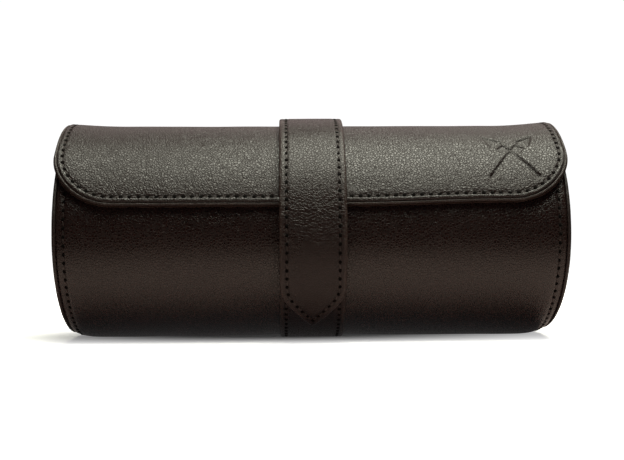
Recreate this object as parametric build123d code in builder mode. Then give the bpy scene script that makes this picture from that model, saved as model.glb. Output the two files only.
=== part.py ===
"""Brush roll case: a stiffened leather roll with round ends, a wrap-over flap and a belt strap.

Millimetres, +Z up. The roll lies along X with its front towards -Y. The origin is on the
surface it rests on, straight below the roll's axis. Angles run round the roll from the front
(0 degrees) over the top (90 degrees) to the back (180 degrees) and on underneath.
"""

from build123d import *
from math import atan2, cos, degrees, radians, sin, sqrt, tan
import os

# ---- driving dimensions -------------------------------------------------------------------
ROLL_LENGTH = 193.6  # over the piped ends
END_RADIUS = 41.2  # leather surface at the ends
WAIST_DROP = 0.2  # how much slimmer the roll is between its ends
FLARE_LENGTH = 16.0  # along the roll, from the waist out to each end

LEATHER_T = 1.4  # outer hide of the body
BOARD_T = 1.2  # stiffener inside the body wall
LINING_T = 0.8  # suede inside the body
LIP_DEG = 38.0  # front lip of the mouth
HINGE_DEG = 114.0  # back edge of the mouth, where the flap folds
TURNED_EDGE_T = 1.1  # hide folded over both long edges of the wall
FACING_WIDTH = 12.0  # leather strip inside the front lip
FACING_T = 0.8

PIPING_D = 1.9  # piped seam round each end
PIPING_SETBACK = 0.1  # its crest lies this far below the leather surface
PIPING_TAPE_T = 0.3  # flat tape of the piping, caught between the wall and the end
DISC_T = 1.2
DISC_BOARD_T = 1.6
DISC_LINING_T = 0.8
GUSSET_WIDTH = 8.0  # strip inside that joins each end to the wall
GUSSET_T = 0.8

FLAP_GAP = 0.3  # running clearance over the body
FLAP_LINING_T = 0.8
FLAP_CORE_T = 0.4
FLAP_LEATHER_T = 1.2
FLAP_OVERHANG = 0.5  # past the roll's length at each side
FLAP_LIFT = 1.0  # its sides stand this much further off the body than its middle
FLAP_EDGE_DEG = 13.0  # where the flap's front edge lies
FLAP_CORNER_R = 20.0
FLAP_CORE_INSET = 1.0
FLAP_SEAM_WIDTH = 16.0  # back part of the flap, sewn down on the body

STRAP_WIDTH = 25.0
STRAP_BACKING_T = 0.8
STRAP_CORE_T = 1.1
STRAP_FACE_T = 1.1  # over the core; it comes down beside it to the backing
STRAP_CORE_INSET = 2.0
FOLD_GAP_FLAP = 1.0  # the strap stops this far short of the flap's fold
FOLD_GAP_BACK = 6.5  # and starts again this far behind it
BASE_STRAP_T = 1.3  # lower strap, sewn flat on the body
BASE_STRAP_PRESSED = 0.5  # how far it is pressed flat underneath, where the roll rests on it
BASE_STRAP_FRONT_DEG = 333.0  # its front end, hidden under the tail

TAIL_BEND_DEG = 11.0  # where the free tail bends away from the flap
TAIL_TIP_DEG = -55.0  # seen from the centre of the tail's own bend
TAIL_POINT_LENGTH = 17.0  # from the unrounded shoulders to the tip
TAIL_SHOULDER_R = 16.0
TAIL_TIP_R = 1.5
TAIL_CLEARANCE = 0.3  # between the tail's tip and the lower strap

MAGNET_D = 12.0
MAGNET_SETBACK = 16.0  # from the tail's tip to the magnet's centre
PLATE_D = 15.0
POCKET_CLEARANCE = 0.1  # all round the magnet and the plate

PANEL_T = 1.2  # suede panel that carries the brush loops
PANEL_TOP_DEG = 160.0  # its edge on the back wall
PANEL_FRONT_DEG = 300.0  # its edge below the front
PANEL_SETBACK = 18.0  # from the roll's ends
LOOP_COUNT = 6
LOOP_RISE = 2.2  # slack of an empty loop
ELASTIC_T = 0.9
ELASTIC_WIDTH = 22.0
ELASTIC_SPACING = 92.0  # between the two bands' centres
ELASTIC_MARGIN = 6.0  # panel left bare at each end of a band

PART_GAP = 0.3  # between end faces that a fold parts

# ---- worked out from them -----------------------------------------------------------------
WAIST_RADIUS = END_RADIUS - WAIST_DROP
AXIS_HEIGHT = WAIST_RADIUS + BASE_STRAP_T - BASE_STRAP_PRESSED
HALF = ROLL_LENGTH / 2
WALL_HALF = HALF - PIPING_D
WAIST_HALF = WALL_HALF - FLARE_LENGTH
FLARE_ARC_R = (FLARE_LENGTH**2 + WAIST_DROP**2) / (2 * WAIST_DROP)
FAR = 2 * (ROLL_LENGTH + END_RADIUS)  # beyond the whole roll, for cuts that go right through

BOARD_OUT = -LEATHER_T  # faces of the wall's layers, from the leather surface inwards
LINING_OUT = BOARD_OUT - BOARD_T
LINING_IN = LINING_OUT - LINING_T
PANEL_IN = LINING_IN - PANEL_T

FLAP_LINING_OUT = FLAP_GAP + FLAP_LINING_T  # and of the flap's layers, outwards
FLAP_CORE_OUT = FLAP_LINING_OUT + FLAP_CORE_T
FLAP_OUT = FLAP_CORE_OUT + FLAP_LEATHER_T
FLAP_HALF = HALF + FLAP_OVERHANG
HINGE_RADIUS = END_RADIUS + FLAP_LIFT + FLAP_OUT

STRAP_IN_RADIUS = WAIST_RADIUS + FLAP_OUT
STRAP_T = STRAP_BACKING_T + STRAP_CORE_T + STRAP_FACE_T

DISC_IN = WALL_HALF + PIPING_TAPE_T
DISC_OUT = DISC_IN + DISC_T
DISC_BOARD_IN = DISC_IN - DISC_BOARD_T
DISC_LINING_IN = DISC_BOARD_IN - DISC_LINING_T
PIPING_RADIUS = END_RADIUS - PIPING_SETBACK - PIPING_D / 2
DISC_RADIUS = PIPING_RADIUS - PIPING_D / 2

ROLL_CENTRE = Vector(0, 0, AXIS_HEIGHT)
ROLL_AXIS = Axis(ROLL_CENTRE, (-1, 0, 0))  # turning this way, angles grow
ROLL_DIRECTION = Vector(1, 0, 0)


# ---- places round the roll ----------------------------------------------------------------
def outward(angle):
    """Unit vector away from the roll's axis at an angle."""
    return Vector(0, -cos(radians(angle)), sin(radians(angle)))


def wall_plane(angle):
    """Plane through the axis, its x along the roll and its y outward at that angle."""
    return Plane(ROLL_CENTRE, x_dir=ROLL_DIRECTION, z_dir=ROLL_DIRECTION.cross(outward(angle)))


def facing_plane(angle, centre=ROLL_CENTRE):
    """Plane that faces outward at that angle, its y towards larger angles."""
    return Plane(centre, x_dir=ROLL_DIRECTION, z_dir=outward(angle))


def arc_degrees(length, radius=WAIST_RADIUS):
    """Angle that a length takes up round the roll."""
    return degrees(length / radius)


def surface_radius(x):
    """Radius of the body's leather surface at a place between the waist and an end."""
    return WAIST_RADIUS + FLARE_ARC_R - sqrt(FLARE_ARC_R**2 - (x - WAIST_HALF) ** 2)


# ---- sections and outlines that several pieces share --------------------------------------
def wall_section(offset_in, offset_out, angle, half=WALL_HALF, lift=0):
    """Lengthwise section of a layer: straight at the waist and flared at both ends."""
    end_radius = END_RADIUS + lift
    with BuildSketch(wall_plane(angle)) as section:
        with BuildLine():
            for offset in (offset_in, offset_out):
                waist = WAIST_RADIUS + offset
                Line((-WAIST_HALF, waist), (WAIST_HALF, waist))
                for side in (-1, 1):
                    flare_end = (side * WALL_HALF, end_radius + offset)
                    TangentArc((side * WAIST_HALF, waist), flare_end, tangent=(side, 0))
                    if half > WALL_HALF:
                        Line(flare_end, (side * half, end_radius + offset))
            for x in (-half, half):
                Line((x, end_radius + offset_in), (x, end_radius + offset_out))
        make_face()
    return section.sketch


def strip_section(radius_in, radius_out, start, end, centre=ROLL_CENTRE):
    """Cross-section of a flat strip that is bent round the roll, or round its own centre."""
    with BuildSketch(Plane.YZ) as section:
        with BuildLine():
            for radius in (radius_in, radius_out):
                CenterArc((centre.Y, centre.Z), radius, 180 - end, end - start)
            for angle in (start, end):
                inner = centre + outward(angle) * radius_in
                outer = centre + outward(angle) * radius_out
                Line((inner.Y, inner.Z), (outer.Y, outer.Z))
        make_face()
    return section.sketch


def write(piece, name):
    """Labels a finished piece and writes its file."""
    piece.part.label = name
    export_step(piece.part, f"parts/{name}.step")


os.makedirs("parts", exist_ok=True)

# ---- body wall ----------------------------------------------------------------------------
MOUTH_FRONT_DEG = 360 + LIP_DEG
WALL_ARC = MOUTH_FRONT_DEG - HINGE_DEG
EDGE_ARC = arc_degrees(TURNED_EDGE_T)

with BuildPart() as body_leather:
    revolve(wall_section(BOARD_OUT, 0, HINGE_DEG), axis=ROLL_AXIS, revolution_arc=WALL_ARC)
    for edge_start in (HINGE_DEG, MOUTH_FRONT_DEG - EDGE_ARC):
        revolve(wall_section(LINING_IN, 0, edge_start), axis=ROLL_AXIS, revolution_arc=EDGE_ARC)
write(body_leather, "body_leather")

# The tail bends round a centre of its own, so that it leaves the flap's strap without a kink
# and its tip comes down on the lower strap. The plate and the magnet face that centre.
TAIL_ARC = TAIL_BEND_DEG - TAIL_TIP_DEG
TAIL_LANDING_RADIUS = WAIST_RADIUS + BASE_STRAP_T + TAIL_CLEARANCE
TAIL_DROP = (STRAP_IN_RADIUS**2 - TAIL_LANDING_RADIUS**2) / (2 - 2 * cos(radians(TAIL_ARC)))
TAIL_CENTRE_OFFSET = (STRAP_IN_RADIUS - sqrt(STRAP_IN_RADIUS**2 - 4 * TAIL_DROP)) / 2
TAIL_CENTRE = ROLL_CENTRE + outward(TAIL_BEND_DEG) * TAIL_CENTRE_OFFSET
TAIL_IN_RADIUS = STRAP_IN_RADIUS - TAIL_CENTRE_OFFSET
TAIL_OUT_RADIUS = TAIL_IN_RADIUS + STRAP_T
MAGNET_DEG = TAIL_TIP_DEG + arc_degrees(MAGNET_SETBACK, TAIL_OUT_RADIUS)

with BuildPart() as body_board:
    revolve(
        wall_section(LINING_OUT, BOARD_OUT, HINGE_DEG + EDGE_ARC),
        axis=ROLL_AXIS,
        revolution_arc=WALL_ARC - 2 * EDGE_ARC,
    )
    with BuildSketch(facing_plane(MAGNET_DEG, TAIL_CENTRE)):
        Circle(PLATE_D / 2 + POCKET_CLEARANCE)
    extrude(amount=END_RADIUS, mode=Mode.SUBTRACT)
write(body_board, "body_board")

with BuildPart() as strike_plate:
    revolve(
        wall_section(LINING_OUT, BOARD_OUT, HINGE_DEG + EDGE_ARC),
        axis=ROLL_AXIS,
        revolution_arc=WALL_ARC - 2 * EDGE_ARC,
    )
    with BuildSketch(facing_plane(MAGNET_DEG, TAIL_CENTRE)):
        Circle(PLATE_D / 2)
    extrude(amount=END_RADIUS, mode=Mode.INTERSECT)
write(strike_plate, "strike_plate")

with BuildPart() as body_lining:
    revolve(
        wall_section(LINING_IN, LINING_OUT, HINGE_DEG + EDGE_ARC),
        axis=ROLL_AXIS,
        revolution_arc=WALL_ARC - 2 * EDGE_ARC,
    )
write(body_lining, "body_lining")

FACING_ARC = arc_degrees(FACING_WIDTH)
with BuildPart() as lip_facing:
    revolve(
        wall_section(LINING_IN - FACING_T, LINING_IN, MOUTH_FRONT_DEG - FACING_ARC),
        axis=ROLL_AXIS,
        revolution_arc=FACING_ARC,
    )
    for side, kept in ((-1, Keep.TOP), (1, Keep.BOTTOM)):
        split(bisect_by=Plane.YZ.offset(side * (WALL_HALF - GUSSET_WIDTH)), keep=kept)
write(lip_facing, "lip_facing")

# ---- round ends: a leather disc on a board, piped to the wall ------------------------------
def write_both_ends(piece, name):
    """Writes a piece made for the right end, and its mirror image for the left."""
    with BuildPart() as mirrored:
        mirror(piece.part, about=Plane.YZ)
    write(piece, f"right_{name}")
    write(mirrored, f"left_{name}")


TAPE_IN_RADIUS = END_RADIUS + LINING_IN
with BuildPart() as piping:
    with BuildSketch(wall_plane(90)):
        with Locations((WALL_HALF + PIPING_D / 2, PIPING_RADIUS)):
            Circle(PIPING_D / 2)
        with Locations((WALL_HALF, TAPE_IN_RADIUS)):
            Rectangle(
                PIPING_TAPE_T,
                PIPING_RADIUS - TAPE_IN_RADIUS,
                align=(Align.MIN, Align.MIN),
            )
    revolve(axis=ROLL_AXIS)
write_both_ends(piping, "piping")

END_FILL_RADIUS = surface_radius(DISC_LINING_IN) + LINING_IN - GUSSET_T
for layer_in, layer_out, radius, layer_name in (
    (DISC_IN, DISC_OUT, DISC_RADIUS, "end_leather"),
    (DISC_BOARD_IN, DISC_IN, END_FILL_RADIUS, "end_board"),
    (DISC_LINING_IN, DISC_BOARD_IN, END_FILL_RADIUS, "end_lining"),
):
    with BuildPart() as disc:
        with BuildSketch(Plane.YZ.offset(layer_in)):
            with Locations((0, AXIS_HEIGHT)):
                Circle(radius)
        extrude(amount=layer_out - layer_in)
    write_both_ends(disc, layer_name)

with BuildPart() as gusset:
    revolve(
        wall_section(LINING_IN - GUSSET_T, LINING_IN, HINGE_DEG),
        axis=ROLL_AXIS,
        revolution_arc=WALL_ARC,
    )
    split(bisect_by=Plane.YZ.offset(WALL_HALF - GUSSET_WIDTH), keep=Keep.TOP)
write_both_ends(gusset, "gusset")

# ---- flap ---------------------------------------------------------------------------------
FLAP_ARC = HINGE_DEG - FLAP_EDGE_DEG
FLAP_FACING_DEG = FLAP_EDGE_DEG + arc_degrees(FLAP_CORNER_R / 2)


def flap_outline(inset):
    """The flap seen square on to its rounded front corners."""
    front = HINGE_RADIUS * sin(radians(FLAP_FACING_DEG - FLAP_EDGE_DEG)) - inset
    with BuildSketch(facing_plane(FLAP_FACING_DEG)) as outline:
        with Locations((0, -front)):
            Rectangle(2 * (FLAP_HALF - inset), FAR, align=(Align.CENTER, Align.MIN))
        fillet(outline.vertices().group_by(Axis.Y)[0], radius=FLAP_CORNER_R - inset)
    return outline.sketch


for layer_in, layer_out, inset, layer_name in (
    (FLAP_GAP, FLAP_LINING_OUT, 0, "flap_lining"),
    (FLAP_LINING_OUT, FLAP_CORE_OUT, FLAP_CORE_INSET, "flap_core"),
    (FLAP_CORE_OUT, FLAP_OUT, 0, "flap_leather"),
):
    inset_arc = arc_degrees(inset)
    with BuildPart() as flap_layer:
        revolve(
            wall_section(
                layer_in, layer_out, FLAP_EDGE_DEG + inset_arc, FLAP_HALF, FLAP_LIFT
            ),
            axis=ROLL_AXIS,
            revolution_arc=FLAP_ARC - inset_arc,
        )
        extrude(flap_outline(inset), amount=FAR, both=True, mode=Mode.INTERSECT)
    write(flap_layer, layer_name)

SEAM_FRONT_DEG = HINGE_DEG + arc_degrees(PART_GAP)
SEAM_BACK_DEG = HINGE_DEG + arc_degrees(FLAP_SEAM_WIDTH)
with BuildPart() as flap_seam:
    revolve(
        wall_section(0, FLAP_OUT, SEAM_FRONT_DEG, FLAP_HALF),
        axis=ROLL_AXIS,
        revolution_arc=SEAM_BACK_DEG - SEAM_FRONT_DEG,
    )
write(flap_seam, "flap_seam")

# ---- strap: sewn on the body, on the flap's seam and on the flap ---------------------------
with BuildPart() as base_strap:
    extrude(
        strip_section(
            WAIST_RADIUS,
            WAIST_RADIUS + BASE_STRAP_T,
            SEAM_BACK_DEG,
            BASE_STRAP_FRONT_DEG,
        ),
        amount=STRAP_WIDTH / 2,
        both=True,
    )
    split(bisect_by=Plane.XY, keep=Keep.TOP)
write(base_strap, "base_strap")

with BuildPart() as strap_anchor:
    extrude(
        strip_section(
            STRAP_IN_RADIUS,
            STRAP_IN_RADIUS + STRAP_T,
            HINGE_DEG + arc_degrees(FOLD_GAP_BACK, STRAP_IN_RADIUS),
            SEAM_BACK_DEG,
        ),
        amount=STRAP_WIDTH / 2,
        both=True,
    )
write(strap_anchor, "strap_anchor")

STRAP_OUT_RADIUS = STRAP_IN_RADIUS + STRAP_T
STRAP_CORE_IN = STRAP_IN_RADIUS + STRAP_BACKING_T
STRAP_CORE_OUT = STRAP_CORE_IN + STRAP_CORE_T
STRAP_FRONT_DEG = TAIL_BEND_DEG + arc_degrees(PART_GAP / 2)
STRAP_REAR_DEG = HINGE_DEG - arc_degrees(FOLD_GAP_FLAP, STRAP_IN_RADIUS)
CORE_END_ARC = arc_degrees(STRAP_CORE_INSET, STRAP_IN_RADIUS)
CORE_HALF_WIDTH = STRAP_WIDTH / 2 - STRAP_CORE_INSET
STRAP_CORE_SECTION = strip_section(
    STRAP_CORE_IN,
    STRAP_CORE_OUT,
    STRAP_FRONT_DEG + CORE_END_ARC,
    STRAP_REAR_DEG - CORE_END_ARC,
)

with BuildPart() as strap_backing:
    extrude(
        strip_section(STRAP_IN_RADIUS, STRAP_CORE_IN, STRAP_FRONT_DEG, STRAP_REAR_DEG),
        amount=STRAP_WIDTH / 2,
        both=True,
    )
write(strap_backing, "strap_backing")

with BuildPart() as strap_core:
    extrude(STRAP_CORE_SECTION, amount=CORE_HALF_WIDTH, both=True)
write(strap_core, "strap_core")

with BuildPart() as strap_face:
    extrude(
        strip_section(STRAP_CORE_IN, STRAP_OUT_RADIUS, STRAP_FRONT_DEG, STRAP_REAR_DEG),
        amount=STRAP_WIDTH / 2,
        both=True,
    )
    extrude(STRAP_CORE_SECTION, amount=CORE_HALF_WIDTH, both=True, mode=Mode.SUBTRACT)
write(strap_face, "strap_face")

# ---- tail: the strap's free end, with its pointed tip and its magnet ------------------------
TAIL_CORE_IN = TAIL_IN_RADIUS + STRAP_BACKING_T
TAIL_CORE_OUT = TAIL_CORE_IN + STRAP_CORE_T
TAIL_REAR_DEG = TAIL_BEND_DEG - arc_degrees(PART_GAP / 2)
TAIL_FACING_DEG = TAIL_TIP_DEG + arc_degrees(TAIL_POINT_LENGTH / 2, TAIL_OUT_RADIUS)
TAIL_BLANK_DEG = TAIL_TIP_DEG - arc_degrees(TAIL_POINT_LENGTH / 2, TAIL_OUT_RADIUS)


def tail_outline(inset):
    """The tail seen square on to its point."""
    slant = atan2(STRAP_WIDTH / 2, TAIL_POINT_LENGTH)
    half_width = STRAP_WIDTH / 2 - inset
    tip = inset / sin(slant) - TAIL_OUT_RADIUS * sin(radians(TAIL_FACING_DEG - TAIL_TIP_DEG))
    shoulder = tip + half_width / tan(slant)
    with BuildSketch(facing_plane(TAIL_FACING_DEG, TAIL_CENTRE)) as outline:
        with BuildLine():
            Polyline(
                (half_width, FAR),
                (half_width, shoulder),
                (0, tip),
                (-half_width, shoulder),
                (-half_width, FAR),
                close=True,
            )
        make_face()
        fillet(outline.vertices().group_by(Axis.Y)[1], radius=TAIL_SHOULDER_R - inset)
        fillet(outline.vertices().group_by(Axis.Y)[0], radius=TAIL_TIP_R)
    return outline.sketch


with BuildPart() as tail_backing:
    extrude(
        strip_section(TAIL_IN_RADIUS, TAIL_CORE_IN, TAIL_BLANK_DEG, TAIL_REAR_DEG, TAIL_CENTRE),
        amount=STRAP_WIDTH / 2,
        both=True,
    )
    extrude(tail_outline(0), amount=FAR, mode=Mode.INTERSECT)
write(tail_backing, "tail_backing")

TAIL_CORE_SECTION = strip_section(
    TAIL_CORE_IN,
    TAIL_CORE_OUT,
    TAIL_BLANK_DEG,
    TAIL_REAR_DEG - CORE_END_ARC,
    TAIL_CENTRE,
)
with BuildPart() as tail_core_blank:
    extrude(TAIL_CORE_SECTION, amount=CORE_HALF_WIDTH, both=True)
    extrude(tail_outline(STRAP_CORE_INSET), amount=FAR, mode=Mode.INTERSECT)

with BuildPart() as tail_core:
    add(tail_core_blank.part)
    with BuildSketch(facing_plane(MAGNET_DEG, TAIL_CENTRE)):
        Circle(MAGNET_D / 2 + POCKET_CLEARANCE)
    extrude(amount=FAR, mode=Mode.SUBTRACT)
write(tail_core, "tail_core")

with BuildPart() as tail_magnet:
    add(tail_core_blank.part)
    with BuildSketch(facing_plane(MAGNET_DEG, TAIL_CENTRE)):
        Circle(MAGNET_D / 2)
    extrude(amount=FAR, mode=Mode.INTERSECT)
write(tail_magnet, "tail_magnet")

with BuildPart() as tail_face:
    extrude(
        strip_section(TAIL_CORE_IN, TAIL_OUT_RADIUS, TAIL_BLANK_DEG, TAIL_REAR_DEG, TAIL_CENTRE),
        amount=STRAP_WIDTH / 2,
        both=True,
    )
    extrude(tail_outline(0), amount=FAR, mode=Mode.INTERSECT)
    add(tail_core_blank.part, mode=Mode.SUBTRACT)
write(tail_face, "tail_face")

# ---- brush loops inside -------------------------------------------------------------------
PANEL_RADIUS = WAIST_RADIUS + PANEL_IN
with BuildPart() as loop_panel:
    extrude(
        strip_section(PANEL_RADIUS, WAIST_RADIUS + LINING_IN, PANEL_TOP_DEG, PANEL_FRONT_DEG),
        amount=HALF - PANEL_SETBACK,
        both=True,
    )
write(loop_panel, "loop_panel")

MARGIN_ARC = arc_degrees(ELASTIC_MARGIN, PANEL_RADIUS)
LOOPS_START_DEG = PANEL_TOP_DEG + MARGIN_ARC
LOOP_ARC = (PANEL_FRONT_DEG - MARGIN_ARC - LOOPS_START_DEG) / LOOP_COUNT


def loop_point(radius, loops):
    """Point of a loop's section, a number of loops along the band."""
    point = ROLL_CENTRE + outward(LOOPS_START_DEG + loops * LOOP_ARC) * radius
    return (point.Y, point.Z)


with BuildPart() as elastic:
    with BuildSketch(Plane.YZ.offset(ELASTIC_SPACING / 2)):
        with BuildLine():
            for radius in (PANEL_RADIUS, PANEL_RADIUS - ELASTIC_T):
                for loop in range(LOOP_COUNT):
                    ThreePointArc(
                        loop_point(radius, loop),
                        loop_point(radius - LOOP_RISE, loop + 0.5),
                        loop_point(radius, loop + 1),
                    )
            for loop in (0, LOOP_COUNT):
                Line(
                    loop_point(PANEL_RADIUS, loop),
                    loop_point(PANEL_RADIUS - ELASTIC_T, loop),
                )
        make_face()
    extrude(amount=ELASTIC_WIDTH / 2, both=True)
write_both_ends(elastic, "elastic")
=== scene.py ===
from math import atan2, cos, degrees, exp, pi, radians, sin, tan

import bpy
from mathutils import Matrix, Vector, noise


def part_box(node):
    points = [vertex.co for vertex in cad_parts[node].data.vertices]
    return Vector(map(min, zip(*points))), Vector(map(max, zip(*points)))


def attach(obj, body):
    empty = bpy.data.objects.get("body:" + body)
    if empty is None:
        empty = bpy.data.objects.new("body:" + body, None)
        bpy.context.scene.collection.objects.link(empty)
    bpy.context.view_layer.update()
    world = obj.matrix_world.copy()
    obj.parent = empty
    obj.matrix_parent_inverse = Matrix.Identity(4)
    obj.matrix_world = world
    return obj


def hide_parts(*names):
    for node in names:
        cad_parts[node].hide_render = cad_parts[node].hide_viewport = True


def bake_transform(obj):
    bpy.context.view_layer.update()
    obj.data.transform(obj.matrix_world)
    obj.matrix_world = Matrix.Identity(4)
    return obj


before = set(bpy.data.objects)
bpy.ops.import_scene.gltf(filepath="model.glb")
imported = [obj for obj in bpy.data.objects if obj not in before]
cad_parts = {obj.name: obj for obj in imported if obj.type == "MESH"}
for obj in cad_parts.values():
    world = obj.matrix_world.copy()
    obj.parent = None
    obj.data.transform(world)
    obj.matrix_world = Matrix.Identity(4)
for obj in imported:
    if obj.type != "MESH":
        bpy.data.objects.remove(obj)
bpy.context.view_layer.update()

# ---- camera -------------------------------------------------------------------------------
# It stands level with the roll's axis and a little to the left of its middle, on a short
# telephoto lens. The piped ends give the axis, and how far the roll reaches to each side.
PIPING_LOW, PIPING_HIGH = (Vector(corner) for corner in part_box("right_piping"))
AXIS_HEIGHT = (PIPING_LOW.z + PIPING_HIGH.z) / 2
ROLL_END = PIPING_HIGH.x
CAMERA_DISTANCE = 0.421
CAMERA_YAW = radians(1.4)
CAMERA_ROLL = radians(-0.31)
CAMERA_LENS = 59.08
AIM_RIGHT = 0.00066
AIM_UP = 0.0013

camera_data = bpy.data.cameras.new("camera")
camera_data.lens = CAMERA_LENS
camera_data.sensor_width = 36.0
camera = bpy.data.objects.new("camera", camera_data)
bpy.context.scene.collection.objects.link(camera)
roll_centre = Vector((0, 0, AXIS_HEIGHT))
eye = roll_centre + Vector((-sin(CAMERA_YAW), -cos(CAMERA_YAW), 0)) * CAMERA_DISTANCE
aim = roll_centre + Vector((AIM_RIGHT, 0, AIM_UP))
camera_turn = (aim - eye).to_track_quat("-Z", "Y").to_matrix().to_4x4()
camera.matrix_world = (
    Matrix.Translation(eye) @ camera_turn @ Matrix.Rotation(CAMERA_ROLL, 4, "Z")
)
bpy.context.scene.camera = camera
bpy.context.scene.view_settings.view_transform = "Standard"


# ---- floor, backdrop and lights --------------------------------------------------------------
# A plain white table in front of a white wall. One wide soft light hangs over the roll and
# a weak one fills in from the camera's side, so the leather shows a broad sheen on top.
FLOOR_COLOUR = (0.90, 0.90, 0.89, 1)
FLOOR_MOTTLE = (0.93, 0.93, 0.92, 1)
FLOOR_GLOW = (0.60, 0.47, 0.45, 1)
FLOOR_UNLIT = (0.02, 0.018, 0.017, 1)
FLOOR_HALF = 2.0
SHADOW_SQUEEZE = 0.228
SHADOW_SHIFT = 0.0034
GLOW_SQUEEZE = 0.45
WHITE_WALL = 1.05
ROOM_LIGHT = 0.02


def new_object(name, mesh):
    """An object at the origin that shows a mesh."""
    made = bpy.data.objects.new(name, mesh)
    bpy.context.scene.collection.objects.link(made)
    return made


def feed(tree, node, inputs):
    """Sets a node's inputs, each to a plain value or from another node's output."""
    for label, value in inputs.items():
        if isinstance(value, bpy.types.NodeSocket):
            tree.links.new(value, node.inputs[label])
        else:
            node.inputs[label].default_value = value


def wire(tree, kind, inputs, **settings):
    """Adds a node, with its settings and its inputs."""
    made = tree.nodes.new(kind)
    for name, value in settings.items():
        setattr(made, name, value)
    feed(tree, made, inputs)
    return made


def material(name):
    """A new material, its node tree and its surface shader."""
    made = bpy.data.materials.new(name)
    made.use_nodes = True
    return made, made.node_tree, made.node_tree.nodes["Principled BSDF"]


def colour_mix(tree, amount, first, second):
    """A colour between two, each a socket or a plain value."""
    inputs = {"Factor": amount, "A": first, "B": second}
    return wire(tree, "ShaderNodeMix", inputs, data_type="RGBA").outputs["Result"]


floor_mesh = bpy.data.meshes.new("floor")
floor_corners = [(-1, -1), (1, -1), (1, 1), (-1, 1)]
floor_mesh.from_pydata(
    [(x * FLOOR_HALF, y * FLOOR_HALF, 0) for x, y in floor_corners], [], [(0, 1, 2, 3)]
)
floor = new_object("floor", floor_mesh)
table_white, tree, shader = material("table_white")
place = wire(tree, "ShaderNodeTexCoord", {}).outputs["Object"]


def from_roll(squeeze, shift):
    """Distance on the table from the roll's middle, with its length squeezed."""
    inputs = {"Vector": place, "Location": (shift, 0, 0), "Scale": (squeeze, 1, 1)}
    squeezed = wire(tree, "ShaderNodeMapping", inputs).outputs["Vector"]
    return wire(tree, "ShaderNodeVectorMath", {0: squeezed}, operation="LENGTH").outputs["Value"]


def fade(distance, start, end, low, high):
    """A value that goes from low at the start to high at the end in an even S."""
    inputs = {
        "Value": distance, "From Min": start, "From Max": end, "To Min": low, "To Max": high
    }
    return wire(
        tree, "ShaderNodeMapRange", inputs, interpolation_type="SMOOTHSTEP"
    ).outputs["Result"]


# To the eye the table glows white, with a contact shadow painted into that glow: it fades almost
# to nothing in the narrow gap in front of the contact line.
mottle = wire(tree, "ShaderNodeTexNoise", {"Scale": 12})
shadow_and_glow_reach = from_roll(SHADOW_SQUEEZE, SHADOW_SHIFT)
feed(tree, shader, {
    "Base Color": colour_mix(tree, mottle.outputs["Fac"], FLOOR_COLOUR, FLOOR_MOTTLE),
    "Roughness": 0.85,
    "Specular IOR Level": 0.2,
    "Emission Color": fade(shadow_and_glow_reach, 0.006, 0.047, 0.03, 1.05),
    "Emission Strength": 1.0,
})
# To the leather the table has a painted pool of light: its colour is bright near the roll and
# dark away from it, standing in for a room whose front is unlit. A faint glow is also painted
# under the roll.
painted_light_pool = fade(from_roll(GLOW_SQUEEZE, 0), 0.19, 0.07, 0.0, 1.0)
glow = wire(
    tree, "ShaderNodeBsdfDiffuse", {"Color": colour_mix(tree, painted_light_pool, FLOOR_UNLIT, FLOOR_GLOW)}
)
painted_underglow = wire(tree, "ShaderNodeEmission", {"Strength": fade(shadow_and_glow_reach, 0.044, 0.016, 0.0, 0.085)})
both = wire(tree, "ShaderNodeAddShader", {0: glow.outputs[0], 1: painted_underglow.outputs[0]})


def by_ray(tree, output, unseen, seen):
    """Shows the eye one shader and gives light another."""
    to_eye = wire(tree, "ShaderNodeLightPath", {}).outputs["Is Camera Ray"]
    inputs = {"Fac": to_eye, 1: unseen.outputs[0], 2: seen.outputs[0]}
    pick = wire(tree, "ShaderNodeMixShader", inputs)
    feed(tree, tree.nodes[output], {"Surface": pick.outputs[0]})


by_ray(tree, "Material Output", both, shader)
floor.data.materials.append(table_white)

world = bpy.data.worlds.new("studio")
bpy.context.scene.world = world
world.use_nodes = True
backdrop = world.node_tree.nodes["Background"]
feed(world.node_tree, backdrop, {"Color": (1, 1, 1, 1), "Strength": WHITE_WALL})
room = wire(
    world.node_tree,
    "ShaderNodeBackground",
    {"Color": (1, 0.99, 0.97, 1), "Strength": ROOM_LIGHT},
)
by_ray(world.node_tree, "World Output", room, backdrop)


def soft_light(name, place, target, size, power, colour=(1, 1, 1)):
    """An area light, turned from its place towards a target."""
    data = bpy.data.lights.new(name, "AREA")
    data.shape = "RECTANGLE"
    data.size, data.size_y = size
    data.energy = power
    data.color = colour
    lamp = new_object(name, data)
    lamp.location = place
    lamp.rotation_euler = (Vector(target) - Vector(place)).to_track_quat("-Z", "Y").to_euler()
    return lamp


soft_light("overhead", (0.09, -0.09, 0.66), (0.02, 0, 0.04), (0.58, 0.46), 9.0, (0.99, 1, 0.85))
soft_light("back_rim", (0.05, 0.62, 0.50), (0, 0, 0.06), (0.9, 0.30), 0.74, (1, 0.81, 0.79))
table_bounce = soft_light("table_bounce", (0, -0.55, 0.16), (0, 0, 0), (0.9, 0.14), 0.30)
table_bounce.visible_glossy = False


# ---- hide -----------------------------------------------------------------------------------
# Every leather piece is the same dark brown chrome-tanned hide with a fine pebble grain. Edges
# that hands rub are paler and smoother; the hollows of the grain are dull, and the thread holes
# are dull dark pits of painted shade.
HIDE_BROWN = (0.0122, 0.0038, 0.0030, 1)
HIDE_PALE = (0.040, 0.024, 0.020, 1)
HIDE_HOLLOW = (0.0065, 0.0028, 0.0024, 1)


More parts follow.
